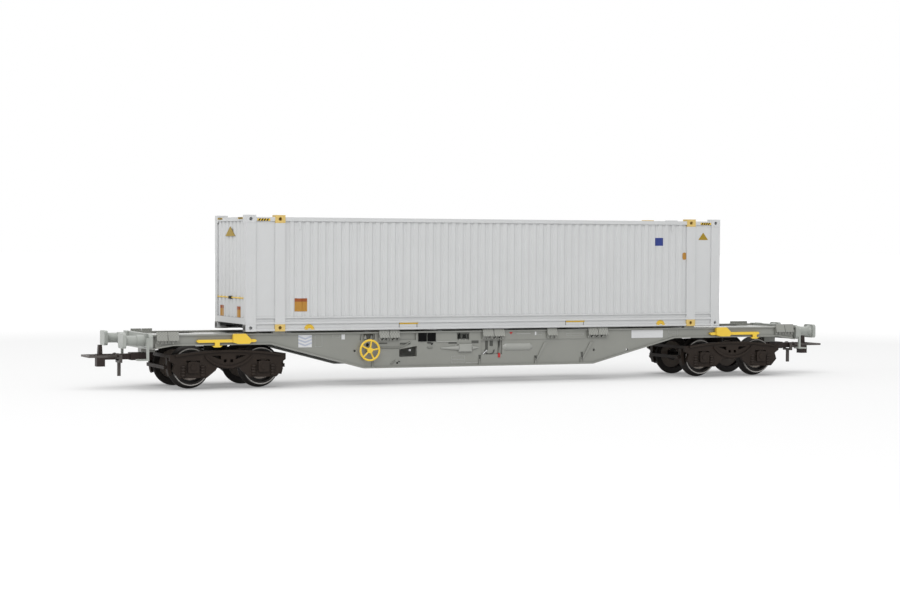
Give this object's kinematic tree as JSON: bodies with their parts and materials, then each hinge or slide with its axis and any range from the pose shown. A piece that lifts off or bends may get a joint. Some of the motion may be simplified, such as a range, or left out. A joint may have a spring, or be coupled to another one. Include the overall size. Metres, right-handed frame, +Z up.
{
  "type": "scale model container flatcar with container",
  "caption": "Model railway flatcar with fish-belly side sills, swivelling bogies, buffers and loop couplings, carrying a long lift-off container on its locking pins.",
  "frame": {"origin": "middle of the car, on the plane of the wheel flange bottoms", "axes": "+X along the car towards end b, +Y to the far side, +Z up"},
  "size_m": [0.242, 0.0292, 0.0492],
  "materials": {
    "frame_grey": "satin mid grey paint",
    "buffer_grey": "satin lighter grey plastic",
    "dark_steel": "blackened steel",
    "signal_yellow": "satin yellow paint",
    "black_paint": "matt black",
    "bogie_black": "matt brown-black moulded plastic",
    "wheel_steel": "blackened metal with a bright turned rim",
    "coupling_black": "black moulded plastic",
    "coupling_steel": "blackened sheet steel",
    "container_white": "satin grey-white plastic",
    "container_dark": "matt dark grey plastic",
    "casting_yellow": "satin ochre yellow"
  },
  "bodies": {
    "wagon": {"side_sill_near": "frame_grey", "side_sill_far": "frame_grey", "cross_bearers": "frame_grey", "end_frame_a": "frame_grey", "end_frame_b": "frame_grey", "headstock_a": "buffer_grey", "headstock_b": "buffer_grey", "buffers_a": "buffer_grey", "buffers_b": "buffer_grey", "corner_steps_a": "buffer_grey", "corner_steps_b": "buffer_grey", "pivot_pins": "dark_steel", "container_seats": "frame_grey", "folding_seats_near": "frame_grey", "folding_seats_far": "frame_grey", "side_levers_near": "signal_yellow", "side_levers_far": "signal_yellow", "handwheels": "signal_yellow", "brake_gear_near": "frame_grey", "brake_gear_far": "frame_grey", "black_plates": "black_paint"},
    "bogie_a": {"bogie_frame_a": "bogie_black", "brake_rigging_a": "bogie_black"},
    "bogie_b": {"bogie_frame_b": "bogie_black", "brake_rigging_b": "bogie_black"},
    "wheels_a_outer": {"wheelset_a_outer": "wheel_steel"},
    "wheels_a_inner": {"wheelset_a_inner": "wheel_steel"},
    "wheels_b_outer": {"wheelset_b_outer": "wheel_steel"},
    "wheels_b_inner": {"wheelset_b_inner": "wheel_steel"},
    "coupling_a": {"coupling_pocket_a": "coupling_black", "coupling_head_a": "coupling_black"},
    "coupling_b": {"coupling_pocket_b": "coupling_black", "coupling_head_b": "coupling_black"},
    "bow_a": {"coupling_bow_a": "coupling_steel"},
    "bow_b": {"coupling_bow_b": "coupling_steel"},
    "container": {"container_side_near": "container_white", "container_side_far": "container_white", "container_end_a": "container_white", "container_end_b": "container_white", "container_roof": "container_white", "container_floor": "container_dark", "corner_posts": "container_white", "frame_posts": "container_white", "corner_castings": "container_white", "frame_castings": "casting_yellow", "door_bars": "container_white"}
  },
  "joints": [
    {"name": "bogie_a_swivel", "type": "hinge", "parent": "wagon", "child": "bogie_a", "pos_m": [-0.0828, 0, 0.0062], "axis": [0, 0, 1], "range_deg": [-12, 12]},
    {"name": "wheels_a_outer_spin", "type": "hinge", "parent": "bogie_a", "child": "wheels_a_outer", "pos_m": [-0.09315, 0, 0.0062], "axis": [0, 1, 0], "continuous": true},
    {"name": "wheels_a_inner_spin", "type": "hinge", "parent": "bogie_a", "child": "wheels_a_inner", "pos_m": [-0.07245, 0, 0.0062], "axis": [0, 1, 0], "continuous": true},
    {"name": "coupling_a_swing", "type": "hinge", "parent": "wagon", "child": "coupling_a", "pos_m": [-0.1029, 0, 0.0092], "axis": [0, 0, 1], "range_deg": [-12, 12]},
    {"name": "bow_a_lift", "type": "hinge", "parent": "coupling_a", "child": "bow_a", "pos_m": [-0.112, 0, 0.00925], "axis": [0, 1, 0], "range_deg": [0, 15]},
    {"name": "bogie_b_swivel", "type": "hinge", "parent": "wagon", "child": "bogie_b", "pos_m": [0.0828, 0, 0.0062], "axis": [0, 0, 1], "range_deg": [-12, 12]},
    {"name": "wheels_b_outer_spin", "type": "hinge", "parent": "bogie_b", "child": "wheels_b_outer", "pos_m": [0.09315, 0, 0.0062], "axis": [0, 1, 0], "continuous": true},
    {"name": "wheels_b_inner_spin", "type": "hinge", "parent": "bogie_b", "child": "wheels_b_inner", "pos_m": [0.07245, 0, 0.0062], "axis": [0, 1, 0], "continuous": true},
    {"name": "coupling_b_swing", "type": "hinge", "parent": "wagon", "child": "coupling_b", "pos_m": [0.1029, 0, 0.0092], "axis": [0, 0, 1], "range_deg": [-12, 12]},
    {"name": "bow_b_lift", "type": "hinge", "parent": "coupling_b", "child": "bow_b", "pos_m": [0.112, 0, 0.00925], "axis": [0, -1, 0], "range_deg": [0, 15]},
    {"name": "container_lift", "type": "slide", "parent": "wagon", "child": "container", "axis": [0, 0, 1], "range_m": [0, 0.04]}
  ]
}
